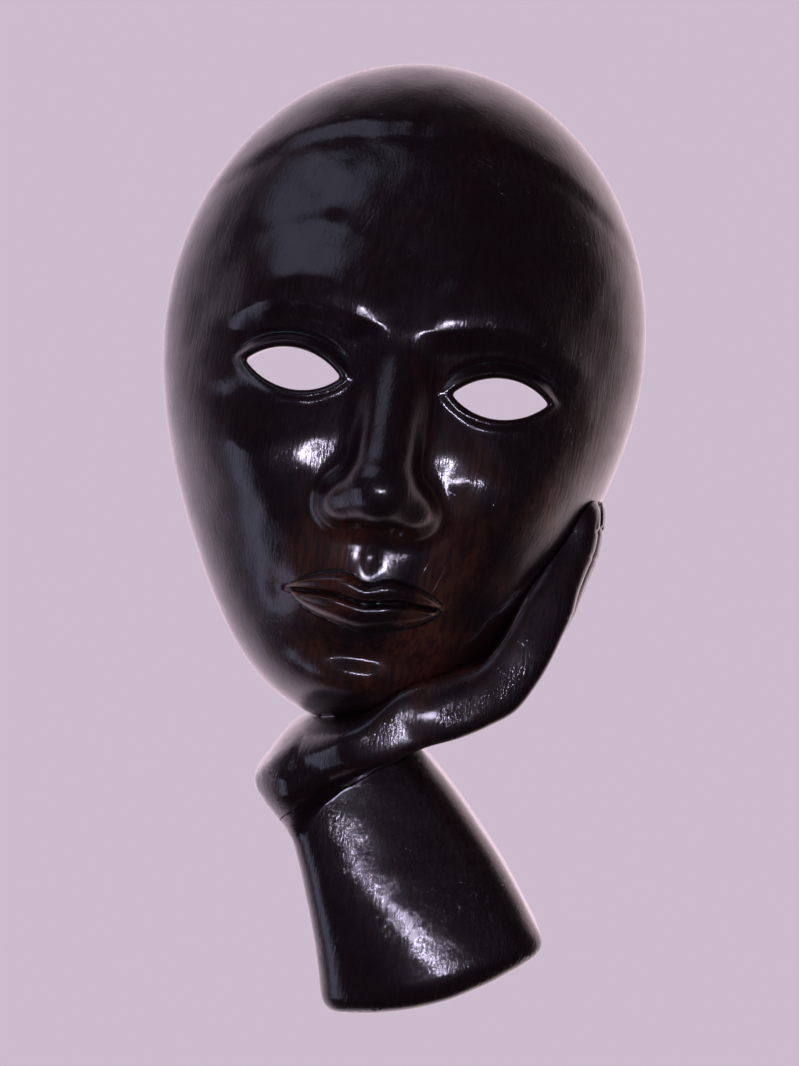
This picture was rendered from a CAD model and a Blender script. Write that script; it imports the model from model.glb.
"""The looks of the carved wooden wall mask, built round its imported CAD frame.

The three carvings are sculpted as fields: a field is a function of place that is
negative inside the wood, and its zero level is polygonised. Fields work in millimetres,
in head coordinates (u to the right, v up from the eye line, w out from the wall) or in
wall coordinates (x, z, w). Everything else is in metres, in the CAD frame.
"""

import math

import bpy
import numpy as np
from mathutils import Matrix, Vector


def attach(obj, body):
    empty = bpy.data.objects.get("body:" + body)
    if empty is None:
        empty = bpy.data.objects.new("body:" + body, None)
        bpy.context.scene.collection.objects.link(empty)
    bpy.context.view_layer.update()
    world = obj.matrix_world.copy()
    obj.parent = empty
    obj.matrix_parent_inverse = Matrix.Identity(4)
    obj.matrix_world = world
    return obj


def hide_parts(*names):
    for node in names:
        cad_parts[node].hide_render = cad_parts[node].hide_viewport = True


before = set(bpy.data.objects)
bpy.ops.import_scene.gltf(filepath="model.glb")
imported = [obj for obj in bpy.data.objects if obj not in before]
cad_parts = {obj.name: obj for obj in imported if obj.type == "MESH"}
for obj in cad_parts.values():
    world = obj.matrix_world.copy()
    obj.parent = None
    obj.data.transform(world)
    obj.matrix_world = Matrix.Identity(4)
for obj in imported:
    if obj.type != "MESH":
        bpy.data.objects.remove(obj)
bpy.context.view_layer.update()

MM = 0.001
SEED = 7
GLUE = 0.2            # glue line between jaw and hand, mm
JOINT_GAP = 0.03      # gap between hand and forearm, mm

# How far edges are rounded, mm.
BACK_EDGE = 2.4       # at the wall
HOLLOW_EDGE = 1.6     # round the mouth of the hollow
EYE_EDGE = 1.3        # round the eye openings
RECESS_EDGE = 0.3     # round the hanger's recess
SEAT_EDGE = 0.7       # where the palm meets the jaw
JOINT_EDGE = 0.1      # where the hand meets the forearm

# The head, as in the CAD model, in mm.
HEAD_W, HEAD_H, HEAD_D = 180.0, 248.0, 71.0
TILT = math.radians(8.5)
CROWN_Z = 14.0
HEAD_X = -1.0
HEAD_Z = CROWN_Z - HEAD_H / 2 + 0.5
WIDEST_V = 20.0
RIM_SIDE = 7.0        # height of the head's upright edge
HOLLOW_W, HOLLOW_UP, HOLLOW_DOWN, HOLLOW_D = 150.0, 70.0, 99.0, 57.0
HOLLOW_SIDE = 4.0     # height of the hollow's upright edge
GOUGE_WIDE, GOUGE_LONG, GOUGE_DEEP = 9.5, 17.0, 1.3
EYE_W, EYE_H, EYE_U = 33.0, 14.0, 36.0
EYE_SLANT = 0.05      # how far the outer corners rise, mm in a mm
EYE_CORNER = 1.4      # how far the corners are rounded
EYE_FLARE = 0.09      # the openings widen inwards by this much in a mm
EYE_FRONT, EYE_BACK = 66.0, 30.0       # where the widening starts and the cut ends


# ---------------------------------------------------------------- shapes as fields

def ease(a, b, x):
    """A smooth step: 0 before a and 1 past b, or the other way round if a is over b."""
    t = np.clip((x - a) / (b - a), 0.0, 1.0)
    return t * t * (3.0 - 2.0 * t)


def swell(x, middle, spread):
    """A soft hump of height 1."""
    return np.exp(-(((x - middle) / spread) ** 2))


def bump(u, v, u0, v0, su, sv):
    """A soft mound of height 1 at (u0, v0), spread by su and sv."""
    return swell(u, u0, su) * swell(v, v0, sv)


def join(a, b, k):
    """The union of two fields, blended over k mm."""
    h = np.clip(0.5 + 0.5 * (b - a) / k, 0.0, 1.0)
    return b + (a - b) * h - k * h * (1.0 - h)


def cut(a, b, k):
    """Field a without field b, with edges rounded over k mm."""
    return -join(-a, b, k)


def ellipsoid(u, v, w, centre, radii):
    p = [(c - m) / r for c, m, r in zip((u, v, w), centre, radii)]
    q = [(c - m) / (r * r) for c, m, r in zip((u, v, w), centre, radii)]
    near = np.sqrt(p[0] ** 2 + p[1] ** 2 + p[2] ** 2)
    steep = np.sqrt(q[0] ** 2 + q[1] ** 2 + q[2] ** 2)
    return near * (near - 1.0) / np.maximum(steep, 1e-6)


def rod(u, v, w, a, b, ra, rb):
    """A round-ended rod from a, of radius ra, to b, of radius rb."""
    d = [bb - aa for aa, bb in zip(a, b)]
    p = [c - aa for c, aa in zip((u, v, w), a)]
    t = (p[0] * d[0] + p[1] * d[1] + p[2] * d[2]) / (d[0] ** 2 + d[1] ** 2 + d[2] ** 2)
    t = np.clip(t, 0.0, 1.0)
    away = [pp - dd * t for pp, dd in zip(p, d)]
    return np.sqrt(away[0] ** 2 + away[1] ** 2 + away[2] ** 2) - (ra + (rb - ra) * t)


def ripple(a, b, size, seed, waves=9):
    """A smooth random height of about -1 to 1 over a plane, size mm from crest to crest."""
    draw = np.random.default_rng(seed)
    total = 0.0
    for _ in range(waves):
        turn, phase = draw.uniform(0.0, 2.0 * math.pi, 2)
        k = 2.0 * math.pi / (size * draw.uniform(0.7, 1.5))
        total = total + np.sin(k * (a * math.cos(turn) + b * math.sin(turn)) + phase)
    return total / waves**0.5


def gouges(a, b, wide, long, seed):
    """Height from 0, in the middle of each gouge cut, to 1 on the ridges between."""
    jitter = np.random.default_rng(seed).uniform(-0.32, 0.32, (64, 64, 2))
    p, q = np.broadcast_arrays(a / wide, b / long)
    column, row = np.floor(p).astype(int), np.floor(q).astype(int)
    nearest = np.full(p.shape, 9.0)
    for i in (-1, 0, 1):
        for j in (-1, 0, 1):
            dp, dq = np.moveaxis(jitter[(column + i) % 64, (row + j) % 64], -1, 0)
            away = (p - column - i - 0.5 - dp) ** 2 + (q - row - j - 0.5 - dq) ** 2
            nearest = np.minimum(nearest, away)
    return np.clip(nearest / 0.45, 0.0, 1.0)


# ---------------------------------------------------------------- the head

def egg_share(u, v, half, up, down):
    """How far (u, v) is from the middle of the egg to its rim, and the way down."""
    dv = (v - WIDEST_V) / np.where(v > WIDEST_V, up, down)
    narrow = np.ones_like(u * v)
    for _ in range(3):
        du = u / (half * narrow)
        share = np.sqrt(du * du + dv * dv) + 1e-9
        low = np.maximum(0.0, -dv / share)
        narrow = 1.0 - 0.02 * low**2 - 0.34 * (low * du / share) ** 2
    return share, low


def dome(u, v, w, half, up, down, edge, depth, full, fuller):
    """A half egg with an upright edge."""
    share, low = egg_share(u, v, half, up, down)
    power = full + fuller * low
    out = np.maximum(w - edge, 0.0) / (depth - edge)
    level = (share**power + out**power) ** (1.0 / power)
    scale = half + (depth - edge - half) * np.clip(out, 0.0, 1.0)
    return (level - 1.0) * scale


def eye_lens(u, v):
    """Distance outside the almond of an eye opening, in the face's plane."""
    rise, reach = EYE_H / 2, EYE_W / 2
    radius = (reach * reach / rise + rise) / 2
    du = np.abs(u) - EYE_U
    slant = EYE_SLANT * du
    upper = np.sqrt(du**2 + (v - slant + radius - rise) ** 2) - radius
    lower = np.sqrt(du**2 + (v - slant - radius + rise) ** 2) - radius
    return cut(upper, -lower, EYE_CORNER)


def hairline(u):
    """The height of the close-cut hair's edge."""
    return 90.0 - 30.0 * (np.abs(u) / 80.0) ** 2.4


def mouth_line(u):
    return -75.5 - 1.2 * swell(u, 0.0, 7.0) + 0.7 * swell(np.abs(u), 13.0, 8.0)


def lip(s):
    """A lip's fullness across it, from the mouth line at 0 to its border at 1."""
    inside = np.clip(s, 0.0, 1.0)
    round_off = np.maximum(0.0, 1.0 - (np.abs(2.0 * inside - 0.9) / 1.1) ** 2.4)
    return round_off**0.62 * (s > 0)


def relief(u, v):
    """How far the face's soft forms stand out of the dome, in mm."""
    side = np.abs(u)
    out = 1.2 * ease(-4.2, 4.2, v - hairline(u))
    out = out + 0.22 * ripple(u, v, 34.0, SEED) + 0.07 * ripple(u, v, 11.0, SEED + 1)
    # brow, sockets, temples, cheeks
    brow_v = 17.0 + 6.0 * swell(side, 36.0, 20.0) - 0.10 * np.maximum(side - 42.0, 0.0)
    over = ease(brow_v - 7.5, brow_v + 1.5, v) * ease(brow_v + 30.0, brow_v + 4.0, v)
    out = out + 3.6 * over * ease(70.0, 44.0, side) * (0.35 + 0.65 * ease(1.0, 17.0, side))
    out = out - 8.0 * bump(side, v, 31.0, 1.0, 20.0, 12.5)
    out = out - 2.2 * bump(side, v, 76.0, 18.0, 14.0, 24.0)
    out = out + 5.0 * bump(side, v, 47.0, -34.0, 22.0, 19.0)
    # eyeball and lids round each opening
    lens = eye_lens(u, v)
    out = out + 6.2 * bump(side, v, EYE_U, 0.0, 19.0, 10.5)
    upper = ease(-3.0, 3.0, v - 1.0)
    out = out + (0.9 + 0.8 * upper) * swell(lens, 1.9, 1.8)
    out = out - 1.2 * upper * swell(lens, 5.8, 1.2) * ease(22.0, 12.0, np.abs(side - EYE_U))
    # muzzle, furrow over the lip, hollow under it, chin
    out = out + 4.6 * bump(u, v, 0.0, -74.0, 29.0, 19.0)
    out = out - 1.0 * bump(u, v, 0.0, -61.0, 3.4, 6.0)
    out = out - 2.8 * bump(u, v, 0.0, -95.5, 17.0, 5.0)
    out = out + 8.2 * bump(u, v, 0.0, -108.5, 22.0, 12.0)
    # lips
    middle = mouth_line(u)
    span = np.clip(1.0 - (side / 28.0) ** 2, 0.0, 1.0)
    above = 8.4 * span**0.7 - 1.3 * swell(u, 0.0, 4.5) + 0.5 * swell(side, 7.0, 4.0)
    below = 10.0 * np.clip(1.0 - (side / 26.5) ** 2.5, 0.0, 1.0) ** 0.75
    up = lip((v - middle) / np.maximum(above, 0.4))
    down = lip((middle - v) / np.maximum(below, 0.4))
    out = out + 4.4 * span**0.5 * up + 4.9 * span**0.5 * down
    out = out - 2.2 * swell(v, middle, 0.9) * ease(30.0, 24.0, side)
    return out - 1.0 * bump(side, v, 30.0, -76.5, 4.5, 5.5)


def nose(u, v, w):
    """The nose: ridge, tip, wings and nostrils."""
    side = np.abs(u)
    ridge = rod(side, v, w, (0.0, 24.0, 58.0), (0.0, -33.0, 75.0), 10.5, 11.0)
    tip = ellipsoid(side, v, w, (0.0, -40.0, 76.5), (12.0, 10.0, 11.6))
    wing = ellipsoid(side, v, w, (11.5, -43.0, 70.0), (8.6, 8.0, 10.0))
    shape = join(join(ridge, tip, 9.0), wing, 6.5)
    nostril = ellipsoid(side, v, w, (7.6, -52.0, 74.0), (3.3, 3.6, 4.8))
    return cut(shape, nostril, 1.6)


def head_outside(u, v, w):
    """The head with its face, before it is hollowed."""
    base = dome(u, v, w, HEAD_W / 2, HEAD_H / 2 - WIDEST_V, HEAD_H / 2 + WIDEST_V,
                RIM_SIDE, HEAD_D, 2.2, 0.7)
    share, _ = egg_share(u, v, HEAD_W / 2, HEAD_H / 2 - WIDEST_V, HEAD_H / 2 + WIDEST_V)
    front = np.clip(1.0 - share**6, 0.0, 1.0) * ease(14.0, 34.0, w)
    return join(base - relief(u, v) * front, nose(u, v, w), 7.0)


def hanger_recess(x, z, w):
    """The box that the hanger lies in, in wall coordinates."""
    half, low, high, deep = 10.5, -29.0, 4.0, 5.0
    side = np.maximum(np.abs(x) - half, np.maximum(low - z, z - high))
    return np.maximum(side, w - deep)


def hollow(u, v, w):
    """The space behind the face, with the marks of a gouge on its walls."""
    space = dome(u, v, w, HOLLOW_W / 2, HOLLOW_UP - WIDEST_V, HOLLOW_DOWN + WIDEST_V,
                 HOLLOW_SIDE, HOLLOW_D, 2.4, 0.0)
    marks = GOUGE_DEEP * gouges(u, v, GOUGE_WIDE, GOUGE_LONG, SEED + 2)
    return space + marks * ease(3.0, 12.0, w)


def face_shell(u, v, w):
    """The whole carving of the head."""
    solid = cut(head_outside(u, v, w), hollow(u, v, w), HOLLOW_EDGE)
    flare = EYE_FLARE * np.maximum(EYE_FRONT - w, 0.0)
    solid = cut(solid, np.maximum(eye_lens(u, v) - flare, EYE_BACK - w), EYE_EDGE)
    solid = cut(solid, w, BACK_EDGE)
    x, z = from_head(u, v)
    return cut(solid, hanger_recess(x, z, w), RECESS_EDGE)


def from_head(u, v):
    """Head coordinates (u, v) to wall coordinates (x, z)."""
    x = HEAD_X + u * math.cos(TILT) + v * math.sin(TILT)
    return x, HEAD_Z - u * math.sin(TILT) + v * math.cos(TILT)


def to_head(x, z):
    """Wall coordinates (x, z) to head coordinates (u, v)."""
    dx, dz = x - HEAD_X, z - HEAD_Z
    u = dx * math.cos(TILT) - dz * math.sin(TILT)
    return u, dx * math.sin(TILT) + dz * math.cos(TILT)


# ---------------------------------------------------------------- hand and forearm

# The stations of the hand and the forearm, close to the CAD model's: x and z from the top
# of the head, thickness across and depth out from the wall.
FINGER_T, PALM_D = 16.0, 62.0
HAND = np.array([
    [-50.5, -267.5, 7, 24],
    [-47.5, -267, 15, 33],
    [-41.5, -265, 23, 41],
    [-33, -260, 31, 47],
    [-23, -255, 30, PALM_D - 9],
    [-10, -249.5, 23, PALM_D - 3],
    [9, -242, FINGER_T + 2, PALM_D],
    [28.5, -235, FINGER_T + 0.5, PALM_D - 4],
    [41, -225.5, FINGER_T + 1.5, PALM_D - 8],
    [55.5, -202, FINGER_T + 1.5, PALM_D - 14],
    [65, -181, FINGER_T + 1.5, PALM_D - 20],
    [69.5, -168.5, FINGER_T - 2, PALM_D - 22],
    [71.5, -161.5, FINGER_T - 7, PALM_D - 27],
], float)
FOREARM = np.array([
    [-22, -256, 48, 38],
    [-13.5, -271, 57, 43],
    [-4, -290, 66, 46],
    [5.5, -312, 75, 50],
    [14, -337.5, 85, 57],
], float)


def smooth_path(stations, steps):
    """A smooth curve through the stations, evenly spaced along its length."""
    s = np.vstack([stations[0], stations, stations[-1]])
    rows = []
    for i in range(1, len(s) - 2):
        a, b, c, d = s[i - 1:i + 3]
        for t in np.arange(steps) / steps:
            rows.append(0.5 * (2 * b + (c - a) * t + (2 * a - 5 * b + 4 * c - d) * t**2
                               + (3 * b - a - 3 * c + d) * t**3))
    rows = np.array(rows + [s[-1]])
    rows[:, 0] += HEAD_X
    rows[:, 1] += CROWN_Z
    along = np.concatenate([[0], np.cumsum(np.hypot(*np.diff(rows[:, :2], axis=0).T))])
    even = np.linspace(0, along[-1], 240)
    path = np.array([np.interp(even, along, column) for column in rows.T]).T
    step = np.gradient(path[:, :2], axis=0)
    tangent = step / np.hypot(*step.T)[:, None]
    return {"path": path, "tangent": tangent, "length": along[-1], "gap": even[1]}


HAND_PATH = smooth_path(HAND, 24)
FOREARM_PATH = smooth_path(FOREARM, 24)


def along_path(line, x, z):
    """For each point of the wall's plane: its place along the path in mm, its distance
    outwards across it (away from the head), and the half thickness and depth there."""
    shape = np.broadcast_shapes(x.shape, z.shape)
    px, pz = np.broadcast_to(x, shape).ravel(), np.broadcast_to(z, shape).ravel()
    path, tangent = line["path"], line["tangent"]
    t, s = np.empty(px.size), np.empty(px.size)
    for start in range(0, px.size, 20000):
        part = slice(start, start + 20000)
        dx = px[part, None] - path[None, :, 0]
        dz = pz[part, None] - path[None, :, 1]
        nearest = np.argmin(dx**2 + dz**2, axis=1)
        row = np.arange(nearest.size)
        dx, dz = dx[row, nearest], dz[row, nearest]
        tx, tz = tangent[nearest].T
        t[part] = nearest * line["gap"] + dx * tx + dz * tz
        s[part] = dx * tz - dz * tx
    place = np.clip(t, 0, line["length"])
    known = np.arange(len(path)) * line["gap"]
    half = np.interp(place, known, path[:, 2]) / 2
    deep = np.interp(place, known, path[:, 3])
    return tuple(a.reshape(shape) for a in (t, s, half, deep))


def swept(across, out, past, power, scale):
    """A section of a sweep: across, out and past are shares of its half sizes."""
    level = (np.abs(across)**power + np.abs(out)**power + past**power) ** (1.0 / power)
    return (level - 1.0) * scale


FINGERS = 4
KNUCKLES_AT = 0.54                     # share of the hand's length
FINGER_JOINTS = (0.75, 0.88)
FINGER_ENDS = (-5.0, 3.0, 4.0, 2.0)    # past the hand's end, from the wall to the front
FINGER_OUT = (2.4, 1.7, 0.1, -2.6)     # how far each lies outwards
FINGER_TIP = 8.0                       # length of a rounded fingertip

# Places below are measured as the stations are: x, z and, if there is a third, w.
PALM_RUNS_ON = 8.0                     # how far the palm runs on into the head
PALM_TAPER = 0.0022                    # how much deeper it gets outwards, a share in a mm
FLAT_AT = (-0.5, -237.0, 57.7)         # the flat on the palm's front
FLAT_LEAN = math.radians(7.6)
FLAT_ROUND, FLAT_FALL = 0.0045, 7.0    # how it falls away sideways, and the most it does
HEEL = (-35.0, -266.0)                 # middle of the heel
HEEL_SIZE = (15.8, 13.0, 45.0)
HEEL_POWER = 2.3
SLOPE_AT = (-39.4, -242.8)             # the heel's straight upper edge, by the jaw
SLOPE_UP, SLOPE_LEFT = 0.56, 0.83      # and the way it faces
JOINT_FROM = (-26.0, -267.0)           # where the crease under the palm ends
JOINT_TURN = math.radians(32.0)        # slope of the joint line from there
JOINT_DROP = 6.4                       # how much lower it lies on the back

ARM_OUT, ARM_RISE = 35.5, 0.225        # the ridge's height, and its rise along the arm
RIDGE_AT, RIDGE_IN = 0.45, 0.38        # its share of the half width, and how it comes in
RIDGE_ROUND, RIDGE_FALL = 135.0, 30.0  # how the sides fall from it, and the most they do
ARM_SIDE_EDGE = 11.0
END_BULGE, END_LEAN, END_ROUND, END_EDGE = 4.4, 0.048, 0.0033, 6.5


def heel(x, z, w):
    """The rounded heel of the hand, under the jaw."""
    shares = [(x - HEAD_X - HEEL[0]) / HEEL_SIZE[0],
              (z - CROWN_Z - HEEL[1]) / HEEL_SIZE[1],
              w / HEEL_SIZE[2]]
    level = sum(np.abs(s) ** HEEL_POWER for s in shares) ** (1.0 / HEEL_POWER)
    return (level - 1.0) * HEEL_SIZE[0]


def finger(i, t, s, w, half, deep):
    """One finger: a rounded rod, thicker at its joints, with its nail and creases."""
    length = HAND_PATH["length"]
    end = length + FINGER_ENDS[i]
    share = t / length
    centre = ((i + 0.5) / FINGERS * 1.03 - 0.02) * deep
    wide = deep / FINGERS * 0.57
    near, far = FINGER_JOINTS
    joints = 1.0 + 0.05 * swell(share, near, 0.03) + 0.04 * swell(share, far, 0.025)
    thick = half * joints * (1.0 - 0.05 * ease(0.6, 1.0, share))
    past = np.maximum(0.0, t - (end - FINGER_TIP)) / FINGER_TIP
    start = np.maximum(0.0, (KNUCKLES_AT - 0.08) * length - t) / 16.0
    lies = s - FINGER_OUT[i] * ease(0.5, 0.75, share)
    shape = swept(lies / thick, (w - centre) / wide, np.maximum(past, start), 2.2, wide)
    nail = np.maximum(np.abs(w - centre) / (wide * 0.62),
                      np.abs(t - (end - FINGER_TIP)) / 6.0) - 1.0
    outer = ease(0.35, 0.7, s / half)
    shape = shape + outer * (0.45 * swell(nail, 0.0, 0.15) - 0.25 * ease(0.05, -0.1, nail))
    crease = swell(t, near * length, 1.0) + swell(t, far * length, 0.9)
    return shape + 0.2 * crease * outer


def hand_body(x, z, w):
    """The whole hand, before the head is cut out of it."""
    t, s, half, deep = along_path(HAND_PATH, x, z)
    share = t / HAND_PATH["length"]
    past = np.maximum(0.0, t - (KNUCKLES_AT + 0.10) * HAND_PATH["length"]) / 22.0
    past = past + np.maximum(0.0, 12.0 - t) / 12.0
    # The palm's front is flat and faces a little upwards. It runs on into the head.
    runs_on = PALM_RUNS_ON * ease(0.24, 0.38, share) * ease(0.68, 0.48, share)
    across = s / np.where(s < 0.0, half + runs_on, half)
    power = 2.5 + 1.7 * ease(0.15, 0.32, share)
    palm = swept(across, w / (deep * (1.0 + PALM_TAPER * s)), past, power, half)
    knuckles = 0.0
    fingers = 1e3
    for i in range(FINGERS):
        fingers = join(fingers, finger(i, t, s, w, half, deep), 1.1)
        centre = ((i + 0.5) / FINGERS * 1.03 - 0.02) * deep
        knuckles = knuckles + swell(w, centre, deep / FINGERS * 0.34)
    on_back = ease(0.3, 0.8, s / half)
    bones = 1.1 * swell(share, KNUCKLES_AT, 0.04) + 0.35 * ease(0.25, 0.4, share)
    palm = palm - knuckles * bones * ease(KNUCKLES_AT + 0.08, KNUCKLES_AT, share) * on_back
    rise = (z - CROWN_Z - FLAT_AT[1]) * math.sin(FLAT_LEAN)
    flat = (w - FLAT_AT[2]) * math.cos(FLAT_LEAN) + rise
    fall = FLAT_ROUND * (x - HEAD_X - FLAT_AT[0]) ** 2
    flat = flat + fall / (1.0 + fall / FLAT_FALL)
    body = cut(join(palm, fingers, 4.0), -flat, 4.0)
    body = join(body, heel(x, z, w), 5.0)
    sideways = SLOPE_LEFT * (x - HEAD_X - SLOPE_AT[0])
    slope = SLOPE_UP * (z - CROWN_Z - SLOPE_AT[1]) - sideways
    body = cut(body, -slope, 4.0)
    return body - 0.12 * ripple(x, z, 26.0, SEED + 3)


def wrist(x, z, w):
    """The hand and the forearm together: the wrist runs smoothly into the heel on the
    left, and goes under the palm with a crease on the right. Second, the hand alone."""
    t, s, half, _ = along_path(FOREARM_PATH, x, z)
    ridge = half * (RIDGE_AT - RIDGE_IN * ease(30.0, 85.0, t))
    drop = (s - ridge) ** 2 / RIDGE_ROUND
    front = w - ARM_OUT - ARM_RISE * t + drop / (1.0 + drop / RIDGE_FALL)
    end = FOREARM_PATH["length"] + END_BULGE - END_LEAN * s - END_ROUND * s * s
    outline = cut(np.abs(s) - half, end - t, END_EDGE)
    body = cut(cut(front, -outline, ARM_SIDE_EDGE), t + 4.0, 4.0)
    body = body - 0.08 * ripple(x, z, 34.0, SEED + 4) - 0.03 * ripple(x, z, 12.0, SEED + 5)
    alone = hand_body(x, z, w)
    return join(body, alone, 0.8 + 13.0 * ease(-26.0, -40.0, x)), alone


def below_heel(x, z, w):
    """Distance below the joint line that runs out from the crease, round the heel. It
    lies lower behind, as the crease does."""
    dx, dz = x - HEAD_X - JOINT_FROM[0], z - CROWN_Z - JOINT_FROM[1]
    dz = dz + JOINT_DROP * ease(45.0, 13.0, w)
    return dx * math.sin(JOINT_TURN) - dz * math.cos(JOINT_TURN)


def share_out(x, z, w):
    """The hand and forearm together, and a field that is under 0 on the hand's side."""
    both, alone = wrist(x, z, w)
    return both, alone + (below_heel(x, z, w) - alone) * ease(-20.0, -28.0, x)


def hand(x, z, w):
    """The carving of the hand, seated against the jaw."""
    u, v = to_head(x, z)
    body = np.maximum(*share_out(x, z, w))
    body = cut(body, head_outside(u, v, w) - GLUE, SEAT_EDGE)
    return cut(body, w, BACK_EDGE)


def forearm(x, z, w):
    """The carving of the forearm, up to its joint with the hand."""
    both, of_hand = share_out(x, z, w)
    return cut(cut(both, of_hand - JOINT_GAP, JOINT_EDGE), w, BACK_EDGE)


# ---------------------------------------------------------------- polygons from fields

CELL = 1.0
BAND_FADE = 12.0      # how far from a fine band the cells are coarse again, mm
SLOPE_STEP = 0.05     # mm
POLISH = 3            # how often points are moved onto the level
BEND_REACH = 1.4      # how far away the bend of a surface is measured, mm
LEAST_AGREE = 0.85    # cosine between a point's direction and its polygons'


def axis_points(lo, hi, coarse, *bands):
    """Grid places from lo to hi: coarse mm apart, and finer near each band, which is
    its low end, its high end and its step."""
    places = [lo]
    while places[-1] < hi:
        p = places[-1]
        steps = [coarse]
        for low, high, fine in bands:
            away = max(low - p, p - high, 0.0)
            steps.append(fine + (coarse - fine) * min(away / BAND_FADE, 1.0))
        places.append(p + CELL * min(steps))
    return np.array(places)


def slopes(field, points):
    """The field, its unit direction and its slope at points of shape (n, 3)."""
    value = field(*points.T)
    rise = []
    for k in range(3):
        step = np.zeros(3)
        step[k] = SLOPE_STEP
        ahead, behind = field(*(points + step).T), field(*(points - step).T)
        rise.append((ahead - behind) / (2 * SLOPE_STEP))
    rise = np.array(rise).T
    steep = np.maximum(np.linalg.norm(rise, axis=1), 1e-3)
    return value, rise / steep[:, None], steep


def polygonise(field, axes):
    """The field's zero level as points, directions and quads: one point in each cell it
    crosses, moved onto the level and evened out between its neighbours."""
    grids = np.meshgrid(*axes, indexing="ij", sparse=True)
    f = np.broadcast_to(field(*grids), [len(a) for a in axes]).astype(np.float32)
    inside = f < 0
    corners = [(i, j, k) for i in (0, 1) for j in (0, 1) for k in (0, 1)]

    def corner(a, c):
        return a[tuple(slice(o, a.shape[n] - 1 + o) for n, o in enumerate(c))]

    count = sum(corner(inside, c).astype(np.int8) for c in corners)
    cells = np.argwhere((count > 0) & (count < 8))
    number = np.full(count.shape, -1, np.int64)
    number[tuple(cells.T)] = np.arange(len(cells))
    total, crossings = np.zeros((len(cells), 3)), np.zeros(len(cells))
    for a in corners:
        for axis in range(3):
            if a[axis]:
                continue
            b = tuple(1 if n == axis else o for n, o in enumerate(a))
            fa, fb = (f[tuple((cells + c).T)] for c in (a, b))
            crossed = (fa < 0) != (fb < 0)
            t = np.where(crossed, fa / np.where(crossed, fa - fb, 1), 0)
            place = np.array(a, float) + t[:, None] * np.eye(3)[axis]
            total += place * crossed[:, None]
            crossings += crossed
    share = total / crossings[:, None]
    low = np.array([axes[n][cells[:, n]] for n in range(3)]).T
    high = np.array([axes[n][cells[:, n] + 1] for n in range(3)]).T
    points = low + (high - low) * share
    quads = []
    for axis in range(3):
        n = inside.shape[axis]
        a = np.take(inside, range(n - 1), axis)
        b = np.take(inside, range(1, n), axis)
        at = np.argwhere(a != b)
        others = [k for k in range(3) if k != axis]
        within = [(at[:, k] > 0) & (at[:, k] < inside.shape[k] - 1) for k in others]
        at = at[np.all(within, axis=0)]
        ring = []
        for o0, o1 in ((1, 1), (0, 1), (0, 0), (1, 0)):
            c = at.copy()
            c[:, others[0]] -= o0
            c[:, others[1]] -= o1
            ring.append(number[tuple(c.T)])
        ring = np.array(ring).T
        turned = a[tuple(at.T)] ^ (axis == 1)
        quads.append(np.where(turned[:, None], ring, ring[:, ::-1]))
    quads = np.vstack(quads)
    quads = quads[np.all(quads >= 0, axis=1)]
    ends = np.vstack([quads[:, [k, (k + 1) % 4]] for k in range(4)])
    cell_size = (high - low).max(axis=1)
    for step in range(POLISH):
        value, way, steep = slopes(field, points)
        move = np.clip(-value / steep, -cell_size / 2, cell_size / 2)
        points = points + way * move[:, None]
        if step < POLISH - 1:
            near = np.zeros_like(points)
            for k in range(3):
                near[:, k] = np.bincount(ends[:, 0], points[ends[:, 1], k], len(points))
            degree = np.maximum(np.bincount(ends[:, 0], minlength=len(points)), 1)
            drift = near / degree[:, None] - points
            drift -= way * np.sum(drift * way, axis=1)[:, None]
            points = points + 0.5 * drift
    return points, way, quads


def convexity(field, points, way):
    """How much the surface bends away nearby: over 0 on edges, under 0 in creases, and
    about 0.3 on the nose's tip."""
    apart = np.where(np.abs(way[:, 2:]) < 0.8, (0.0, 0.0, 1.0), (1.0, 0.0, 0.0))
    side = np.cross(way, apart)
    side /= np.linalg.norm(side, axis=1)[:, None]
    total = 0.0
    for step in (side, -side, np.cross(way, side), -np.cross(way, side)):
        total = total + field(*(points + BEND_REACH * step).T)
    return total / (4.0 * BEND_REACH)


def steady(points, way, quads):
    """The directions, with any that stray from their polygons' own put right."""
    a, b, c, d = (points[quads[:, k]] for k in range(4))
    flat = np.cross(c - a, d - b)
    total = np.zeros_like(points)
    for k in range(3):
        total[:, k] = np.bincount(quads.ravel(), np.repeat(flat[:, k], 4), len(points))
    total /= np.maximum(np.linalg.norm(total, axis=1), 1e-9)[:, None]
    total *= np.sign(np.sum(total * way))
    agree = np.sum(total * way, axis=1)
    return np.where(agree[:, None] < LEAST_AGREE, total, way)


def piece(name, points, quads, body, slot_name, materials, *nodes):
    """A Blender object from points in metres, riding on a body and replacing nodes."""
    mesh = bpy.data.meshes.new(name)
    mesh.vertices.add(len(points))
    mesh.vertices.foreach_set("co", np.asarray(points, np.float32).ravel())
    mesh.loops.add(len(quads) * 4)
    mesh.loops.foreach_set("vertex_index", np.asarray(quads, np.int32).ravel())
    mesh.polygons.add(len(quads))
    mesh.polygons.foreach_set("loop_start", np.arange(0, len(quads) * 4, 4, dtype=np.int32))
    mesh.polygons.foreach_set("use_smooth", np.ones(len(quads), bool))
    mesh.update(calc_edges=True)
    for material in materials:
        mesh.materials.append(material)
    obj = bpy.data.objects.new(name, mesh)
    bpy.context.scene.collection.objects.link(obj)
    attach(obj, body)
    if nodes:
        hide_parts(*nodes)
    return obj


def from_wall(points):
    """Wall coordinates (x, z, w) in mm to the CAD frame. It suits directions too."""
    return np.stack([points[:, 0], -points[:, 2], points[:, 1]], axis=1)


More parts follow.
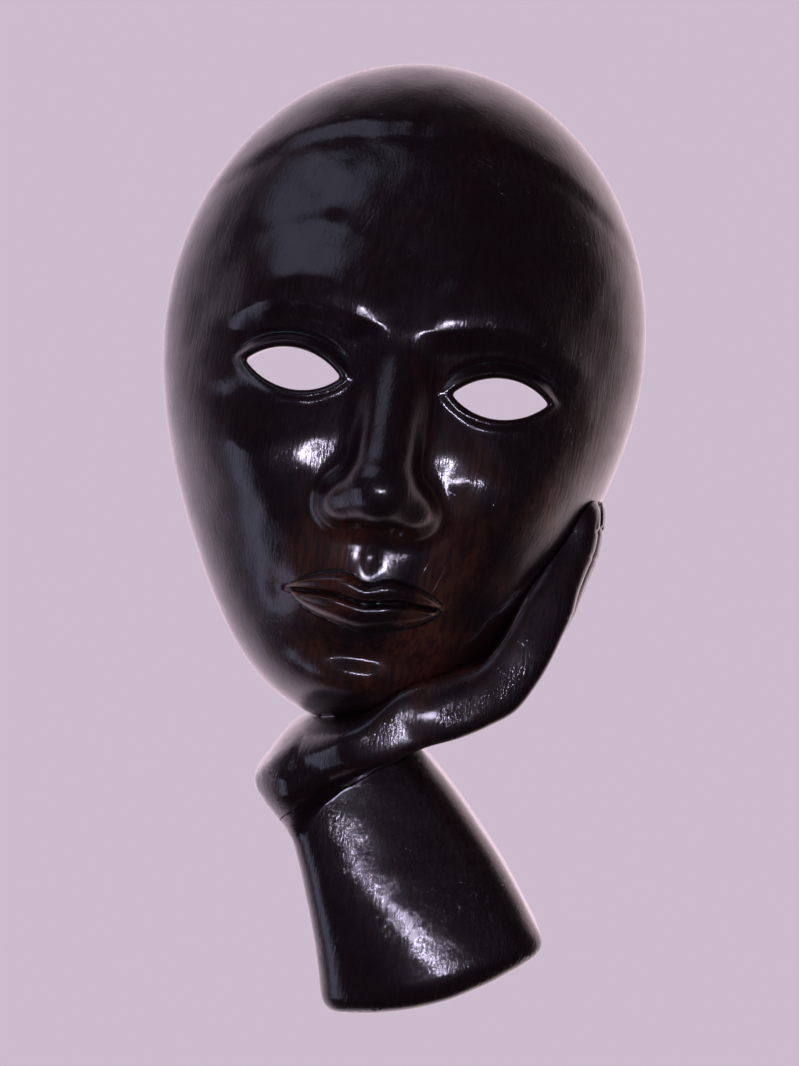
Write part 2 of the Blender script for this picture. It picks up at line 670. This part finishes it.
def from_face(points):
    """The same for head coordinates (u, v, w), but without the head's own place."""
    u, v, w = points.T
    lean, rise = math.sin(TILT), math.cos(TILT)
    return np.stack([u * rise + v * lean, -w, v * rise - u * lean], axis=1)


def carve(name, field, axes, turn, shift, is_bare, node):
    """A carving from its field, with the field's own directions as its normals and the
    bend of its surface as the attribute that wear and dirt follow."""
    points, way, quads = polygonise(field, axes)
    way = steady(points, way, quads)
    obj = piece(name, (turn(points) + shift) * MM, quads, "carving", "dark_wood",
                (wood, bare), node)
    mesh = obj.data
    lacquerless = np.all(is_bare(*points.T)[quads], axis=1)
    mesh.polygons.foreach_set("material_index", lacquerless.astype(np.int32))
    bend = mesh.attributes.new("bend", "FLOAT", "POINT")
    bend.data.foreach_set("value", convexity(field, points, way).astype(np.float32))
    mesh.normals_split_custom_set_from_vertices(turn(way))


BEAD, BEAD_X, BEAD_REACH = 0.46, -29.5, 7.0    # its radius, its middle, its half length


def glue_line(x, z, w):
    """A bead of old glue, squeezed out between jaw and hand."""
    u, v = to_head(x, z)
    size = BEAD - BEAD * np.abs((x - BEAD_X) / BEAD_REACH) ** 3
    return np.hypot(head_outside(u, v, w), hand_body(x, z, w)) - size


# ---------------------------------------------------------------- materials

class Tree:
    """A material's nodes, with short calls that add one node each. Values that are
    sockets are linked, and others are set."""

    def __init__(self, name):
        self.material = bpy.data.materials.new(name)
        self.material.use_nodes = True
        self.tree = self.material.node_tree
        self.shader = self.tree.nodes["Principled BSDF"]

    def put(self, socket, value):
        if isinstance(value, bpy.types.NodeSocket):
            self.tree.links.new(value, socket)
        else:
            socket.default_value = value

    def node(self, kind, inputs, output=0, **settings):
        node = self.tree.nodes.new(kind)
        for key, value in settings.items():
            setattr(node, key, value)
        for key, value in inputs.items():
            self.put(node.inputs[key], value)
        return node.outputs[output]

    def finish(self, **inputs):
        for key, value in inputs.items():
            title = key.replace("_", " ").title().replace("Ior", "IOR")
            self.put(self.shader.inputs[title], value)
        return self.material

    def along_grain(self, stretch, lean=TILT):
        """Object coordinates, drawn out along the grain, which leans from the upright."""
        place = self.node("ShaderNodeTexCoord", {}, "Object")
        return self.node("ShaderNodeMapping", {"Vector": place, "Rotation": (0, lean, 0),
                                               "Scale": (1, 1, stretch)},
                         vector_type="TEXTURE")

    def noise(self, vector, scale, detail=3.0, roughness=0.55, distortion=0.0):
        return self.node("ShaderNodeTexNoise",
                         {"Vector": vector, "Scale": scale, "Detail": detail,
                          "Roughness": roughness, "Distortion": distortion})

    def span(self, value, low, high, to_low=0.0, to_high=1.0, smooth=True):
        """The value moved from low..high to to_low..to_high, and kept inside it."""
        return self.node("ShaderNodeMapRange",
                         {"Value": value, "From Min": low, "From Max": high,
                          "To Min": to_low, "To Max": to_high},
                         interpolation_type="SMOOTHSTEP" if smooth else "LINEAR")

    def sum(self, a, b, operation="ADD"):
        return self.node("ShaderNodeMath", {0: a, 1: b}, operation=operation)

    def mix(self, a, b, share):
        return self.node("ShaderNodeMix", {"Factor": share, "A": a, "B": b}, "Result",
                         data_type="RGBA")

    def near(self, centre, radius):
        """1 at a place of the CAD frame, in metres, and 0 from radius away."""
        place = self.node("ShaderNodeTexCoord", {}, "Object")
        away = self.node("ShaderNodeVectorMath", {0: place, 1: centre}, "Value",
                         operation="DISTANCE")
        return self.span(away, radius, 0.0)

    def bump(self, height, distance, strength, normal=None):
        inputs = {"Height": height, "Distance": distance, "Strength": strength}
        if normal is not None:
            inputs["Normal"] = normal
        return self.node("ShaderNodeBump", inputs)

    def scratches(self, lean, scale):
        """Thin lines that lean by lean from the upright: 1 in a line, 0 elsewhere."""
        line = self.noise(self.along_grain(34.0, lean), scale, 1.0)
        return self.span(line, 0.70, 0.76)

    def attribute(self, name):
        return self.node("ShaderNodeAttribute", {}, "Fac", attribute_name=name)


DARK = (0.0070, 0.0029, 0.0040, 1.0)
BROWN = (0.019, 0.0066, 0.0058, 1.0)
WARM = (0.062, 0.018, 0.008, 1.0)
WORN = (0.17, 0.088, 0.046, 1.0)
DIRT = (0.004, 0.003, 0.003, 1.0)
BARE_DARK = (0.019, 0.011, 0.008, 1.0)
BARE_DULL = (0.032, 0.017, 0.010, 1.0)
BARE = (0.105, 0.058, 0.032, 1.0)
BARE_EDGE = (0.17, 0.105, 0.062, 1.0)
DOWEL_DARK, DOWEL_LIGHT = (0.42, 0.25, 0.12, 1.0), (0.62, 0.43, 0.24, 1.0)
GLUE_DARK, GLUE_LIGHT = (0.16, 0.12, 0.13, 1.0), (0.34, 0.28, 0.32, 1.0)
RUST = (0.16, 0.07, 0.03, 1)
TARNISH = (0.10, 0.07, 0.035, 1)

# Where the stain is worn thin, and how far round there: the mouth and chin, the cheek.
THIN_MOUTH = ((-0.005, -0.062, -0.187), 0.062)
THIN_CHEEK = ((0.045, -0.055, -0.150), 0.05)


def dark_wood():
    """Stained and lacquered near-black wood: grain and pores under the gloss, warm brown
    where hands have thinned the stain, light brown on rubbed edges."""
    t = Tree("dark_wood")
    grain = t.along_grain(14.0)
    streaks = t.noise(grain, 620.0, 5.0, 0.6, 0.25)
    fine = t.noise(grain, 2100.0, 3.0, 0.6)
    pores = t.span(t.noise(t.along_grain(9.0), 2600.0, 1.0), 0.66, 0.74)
    clouds = t.noise(t.along_grain(1.8), 38.0, 4.0, 0.6)
    bend = t.attribute("bend")

    thin = t.sum(t.near(*THIN_MOUTH), t.near(*THIN_CHEEK), "MAXIMUM")
    thin = t.sum(thin, t.span(clouds, 0.42, 0.66), "MULTIPLY")
    thin = t.sum(thin, t.span(streaks, 0.35, 0.62, 0.35, 1.0), "MULTIPLY")
    brown = t.sum(t.span(streaks, 0.4, 0.7), t.span(clouds, 0.4, 0.75), "MULTIPLY")
    colour = t.mix(DARK, BROWN, brown)
    colour = t.mix(colour, WARM, thin)
    rubbed = t.sum(bend, t.span(clouds, 0.3, 0.7, -0.07, 0.07), "ADD")
    rubbed = t.span(rubbed, 0.36, 0.66)
    worn = t.sum(rubbed, t.span(fine, 0.3, 0.65, 0.25, 0.8), "MULTIPLY")
    colour = t.mix(colour, WORN, worn)
    creased = t.span(bend, -0.08, -0.30)
    colour = t.mix(colour, DIRT, creased)

    smudges = t.noise(t.along_grain(1.0), 70.0, 3.0, 0.65)
    rough = t.span(smudges, 0.35, 0.7, 0.30, 0.48)
    rough = t.sum(rough, t.sum(rubbed, 0.25, "MULTIPLY"))
    rough = t.sum(rough, t.sum(creased, 0.2, "MULTIPLY"))

    scratches = t.sum(t.scratches(0.5, 900.0), t.scratches(-1.1, 1100.0), "MAXIMUM")
    scratches = t.sum(scratches, t.span(smudges, 0.45, 0.65), "MULTIPLY")
    low = t.bump(streaks, 0.00028, 0.9)
    low = t.bump(fine, 0.00013, 1.0, low)
    low = t.bump(t.sum(1.0, pores, "SUBTRACT"), 0.00010, 0.8, low)
    gloss = t.bump(t.noise(t.along_grain(11.0), 1100.0, 4.0, 0.65), 0.00012, 0.85)
    gloss = t.bump(t.noise(t.along_grain(2.5), 160.0, 2.0, 0.5), 0.00035, 0.35, gloss)
    gloss = t.bump(t.sum(1.0, scratches, "SUBTRACT"), 0.00008, 0.8, gloss)
    return t.finish(base_color=colour, roughness=rough, normal=low, coat_normal=gloss,
                    coat_weight=1.0, coat_ior=1.6, coat_roughness=0.12,
                    specular_ior_level=0.17)


def raw_wood():
    """The bare wood of the back and the hollow: stained thinly and dry, and lighter on
    the ridges between the gouge's cuts."""
    t = Tree("raw_wood")
    grain = t.along_grain(12.0)
    streaks = t.noise(grain, 420.0, 5.0, 0.65, 0.4)
    fine = t.noise(grain, 1900.0, 3.0, 0.6)
    clouds = t.noise(t.along_grain(2.0), 30.0, 4.0, 0.6)
    colour = t.mix(BARE_DULL, BARE, t.span(streaks, 0.25, 0.8, 0.2, 0.8))
    colour = t.mix(colour, BARE_DARK, t.span(clouds, 0.45, 0.72, 0.0, 0.85))
    colour = t.mix(colour, BARE_EDGE, t.span(t.attribute("bend"), 0.03, 0.3))
    rough = t.span(fine, 0.3, 0.7, 0.55, 0.8)
    low = t.bump(streaks, 0.0006, 0.5)
    low = t.bump(fine, 0.0002, 0.45, low)
    return t.finish(base_color=colour, roughness=rough, normal=low)


def dowel_wood():
    """Pale straight-grained beech."""
    t = Tree("dowel_wood")
    grain = t.along_grain(18.0, 0.0)
    streaks = t.noise(grain, 700.0, 4.0, 0.6)
    colour = t.mix(DOWEL_DARK, DOWEL_LIGHT, t.span(streaks, 0.35, 0.65))
    return t.finish(base_color=colour, roughness=t.span(streaks, 0.3, 0.7, 0.45, 0.65),
                    normal=t.bump(streaks, 0.0002, 0.4))


def metal(name, bright, dull, stain, worn_rough, dull_rough):
    """Old plated or bare metal: patches of tarnish, fine scratches, stain in places."""
    t = Tree(name)
    place = t.along_grain(1.0, 0.0)
    patches = t.noise(place, 260.0, 5.0, 0.65)
    scratches = t.noise(t.along_grain(22.0, 0.7), 2400.0, 2.0, 0.5)
    spots = t.span(t.noise(place, 640.0, 4.0, 0.6), 0.58, 0.70)
    colour = t.mix(bright, dull, t.span(patches, 0.38, 0.62))
    colour = t.mix(colour, stain, t.sum(spots, 0.75, "MULTIPLY"))
    rough = t.sum(t.span(patches, 0.35, 0.65, worn_rough, dull_rough),
                  t.span(scratches, 0.55, 0.7, 0.0, 0.12))
    rough = t.sum(rough, t.sum(spots, 0.3, "MULTIPLY"))
    return t.finish(base_color=colour, roughness=rough,
                    metallic=t.span(spots, 0.0, 1.0, 1.0, 0.35),
                    normal=t.bump(scratches, 0.00005, 0.4))


def pale_plain():
    """The floor's plain matt paint, with the faintest clouds."""
    t = Tree("pale_floor")
    grains = t.noise(t.along_grain(1.0, 0.0), 3.0, 2.0)
    low, high = [tuple(c * k for c in FLOOR_COLOUR) + (1.0,) for k in (0.98, 1.0)]
    return t.finish(base_color=t.mix(low, high, grains), roughness=0.9)


def dried_glue():
    """Old white glue, greyed and a little glossy."""
    t = Tree("dried_glue")
    clouds = t.noise(t.along_grain(1.0), 900.0, 3.0)
    colour = t.mix(GLUE_DARK, GLUE_LIGHT, clouds)
    return t.finish(base_color=colour, roughness=t.span(clouds, 0.3, 0.7, 0.4, 0.6),
                    normal=t.bump(clouds, 0.0002, 0.4))


wood, bare, peg, glue = dark_wood(), raw_wood(), dowel_wood(), dried_glue()
steel = metal("plated_steel", (0.62, 0.63, 0.65, 1), (0.36, 0.36, 0.37, 1), RUST, 0.22, 0.42)
brass = metal("ring_brass", (0.80, 0.58, 0.26, 1), (0.46, 0.31, 0.13, 1), TARNISH, 0.20, 0.40)
FINISHES = {"hanger_strap": steel, "hanger_screw": steel, "hanger_ring": brass}
for name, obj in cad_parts.items():
    for place in obj.material_slots:
        place.material = FINISHES.get(name, peg)


# ---------------------------------------------------------------- the carvings

LACQUER_FROM = 1.3    # how far from the wall the lacquer starts, mm
HOLLOW_SEEN = 2.2     # how far outside the hollow it ends, mm


def on_wall(_u, _v, w):
    """The flat back with its rounded edges."""
    return w < LACQUER_FROM


def unseen(u, v, w):
    """The parts of the head that were never lacquered."""
    recess = hanger_recess(*from_head(u, v), w) < 0.25
    return on_wall(u, v, w) | (hollow(u, v, w) < HOLLOW_SEEN) | recess


# The grids: each axis has its ends, its coarse step and its finer bands, in mm.
face_axes = [axis_points(-95.0, 95.0, 2.6, (-44.0, 44.0, 0.9)),
             axis_points(-129.0, 129.0, 2.6, (-114.0, 26.0, 0.9)),
             axis_points(-2.5, 95.0, 3.2, (-2.5, 1.5, 0.65), (54.0, 95.0, 0.9))]
carve("carved_face", face_shell, face_axes, from_face, (HEAD_X, 0.0, HEAD_Z), unseen,
      "face_shell")

hand_axes = [axis_points(-60.0, 84.0, 0.9, (-52.0, -22.0, 0.55), (22.0, 84.0, 0.7)),
             axis_points(-274.0, -136.0, 0.9, (-272.0, -248.0, 0.55), (-240.0, -136.0, 0.7)),
             axis_points(-2.5, 70.0, 0.8, (-2.5, 1.5, 0.65))]
carve("carved_hand", hand, hand_axes, from_wall, (0.0, 0.0, 0.0), on_wall, "hand")

glue_axes = [axis_points(-36.0, -20.0, 0.34), axis_points(-236.0, -220.0, 0.34),
             axis_points(30.0, 64.0, 0.34)]
points, way, quads = polygonise(glue_line, glue_axes)
piece("glue_line", from_wall(points) * MM, quads, "carving", "dowel_wood", (glue,))

forearm_axes = [axis_points(-62.0, 66.0, 0.95, (-52.0, -22.0, 0.55)),
                axis_points(-345.0, -222.0, 0.95, (-272.0, -248.0, 0.55)),
                axis_points(-2.5, 66.0, 0.95, (-2.5, 1.5, 0.65))]
carve("carved_forearm", forearm, forearm_axes, from_wall, (0.0, 0.0, 0.0), on_wall, "forearm")


# ---------------------------------------------------------------- room, light, camera

PALE = (0.60, 0.50, 0.61)              # what the camera and diffuse light see all round
WALL_LEFT = (0.82, 0.66, 0.85, 1)      # what the gloss reflects from behind the mask
WALL_RIGHT = (1.45, 1.10, 1.18, 1)
DIM = (0.003, 0.002, 0.003, 1)         # and from in front of it
TOWARDS_WALL = (-0.02, 1.0, 0.0)
FLOOR_COLOUR = (0.93, 0.92, 0.93)
FLOOR_Z, FLOOR_REACH = -1.6, 3.0
COOL = (0.66, 0.70, 1)
SENSOR = 36.0                          # mm
FOCAL = 1838.0 / 1066.0                # the photo's focal length, as a share of its height


def area_light(name, place, aim, size, power, colour):
    """A soft rectangular lamp."""
    light = bpy.data.lights.new(name, "AREA")
    light.shape = "RECTANGLE"
    light.size, light.size_y = size
    light.energy = power
    light.color = colour
    obj = bpy.data.objects.new(name, light)
    bpy.context.scene.collection.objects.link(obj)
    obj.location = place
    obj.rotation_euler = (Vector(aim) - Vector(place)).to_track_quat("-Z", "Y").to_euler()


def room():
    """A pale room behind the mask and, for reflections, a dim one in front of it. The
    camera itself and all diffuse light see the plain pale colour all round."""
    world = bpy.data.worlds.new("room")
    bpy.context.scene.world = world
    world.use_nodes = True
    nodes, links = world.node_tree.nodes, world.node_tree.links
    way = nodes.new("ShaderNodeTexCoord").outputs["Generated"]
    towards = nodes.new("ShaderNodeVectorMath")
    towards.operation = "DOT_PRODUCT"
    towards.inputs[1].default_value = TOWARDS_WALL
    links.new(way, towards.inputs[0])
    share = nodes.new("ShaderNodeMapRange")
    share.interpolation_type = "SMOOTHSTEP"
    share.inputs["From Min"].default_value = -0.06
    share.inputs["From Max"].default_value = 0.50
    links.new(towards.outputs["Value"], share.inputs["Value"])
    sideways = nodes.new("ShaderNodeMapRange")
    sideways.inputs["From Min"].default_value = -1.0
    apart = nodes.new("ShaderNodeSeparateXYZ")
    links.new(way, apart.inputs[0])
    links.new(apart.outputs["X"], sideways.inputs["Value"])
    bright = nodes.new("ShaderNodeMix")
    bright.data_type = "RGBA"
    bright.inputs["A"].default_value = WALL_LEFT
    bright.inputs["B"].default_value = WALL_RIGHT
    links.new(sideways.outputs[0], bright.inputs["Factor"])
    light = nodes.new("ShaderNodeMix")
    light.data_type = "RGBA"
    light.inputs["A"].default_value = DIM
    links.new(bright.outputs["Result"], light.inputs["B"])
    links.new(share.outputs[0], light.inputs["Factor"])
    seen = nodes.new("ShaderNodeMix")
    seen.data_type = "RGBA"
    rays = nodes.new("ShaderNodeLightPath")
    plain = nodes.new("ShaderNodeMath")
    plain.operation = "MAXIMUM"
    links.new(rays.outputs["Is Camera Ray"], plain.inputs[0])
    links.new(rays.outputs["Is Diffuse Ray"], plain.inputs[1])
    links.new(plain.outputs[0], seen.inputs["Factor"])
    links.new(light.outputs["Result"], seen.inputs["A"])
    seen.inputs["B"].default_value = PALE + (1,)
    links.new(seen.outputs["Result"], nodes["Background"].inputs["Color"])


def floor():
    """A plain pale floor, far below the mask."""
    mesh = bpy.data.meshes.new("floor")
    r = FLOOR_REACH
    corners = [(-r, -r), (r, -r), (r, r), (-r, r)]
    mesh.from_pydata([(x, y, FLOOR_Z) for x, y in corners], [], [(0, 1, 2, 3)])
    mesh.materials.append(pale_plain())
    obj = bpy.data.objects.new("floor", mesh)
    bpy.context.scene.collection.objects.link(obj)
    obj.visible_glossy = False          # the room below stays dim in the gloss


room()
floor()
# Each lamp's place, the point it faces, its size, its power in watts and its colour.
area_light("flash", (0.015, -0.72, -0.115), (0, 0, -0.17), (0.035, 0.035), 0.95,
           (0.80, 0.74, 1))
area_light("window", (-0.60, -0.74, 0.86), (0, -0.05, -0.04), (0.95, 0.55), 1.2, COOL)
area_light("side_window", (-1.10, -0.42, -0.42), (0, -0.05, -0.15), (0.45, 0.95), 1.5, COOL)

camera = bpy.data.cameras.new("camera")
camera_object = bpy.data.objects.new("camera", camera)
bpy.context.scene.collection.objects.link(camera_object)
camera.sensor_fit = "AUTO"
camera.sensor_width = SENSOR
camera.lens = SENSOR * FOCAL
camera_object.location = (0.0, -0.7, -0.161)
camera_object.rotation_euler = (math.radians(90), 0, 0)
bpy.context.scene.camera = camera_object
bpy.context.scene.view_settings.view_transform = "Standard"
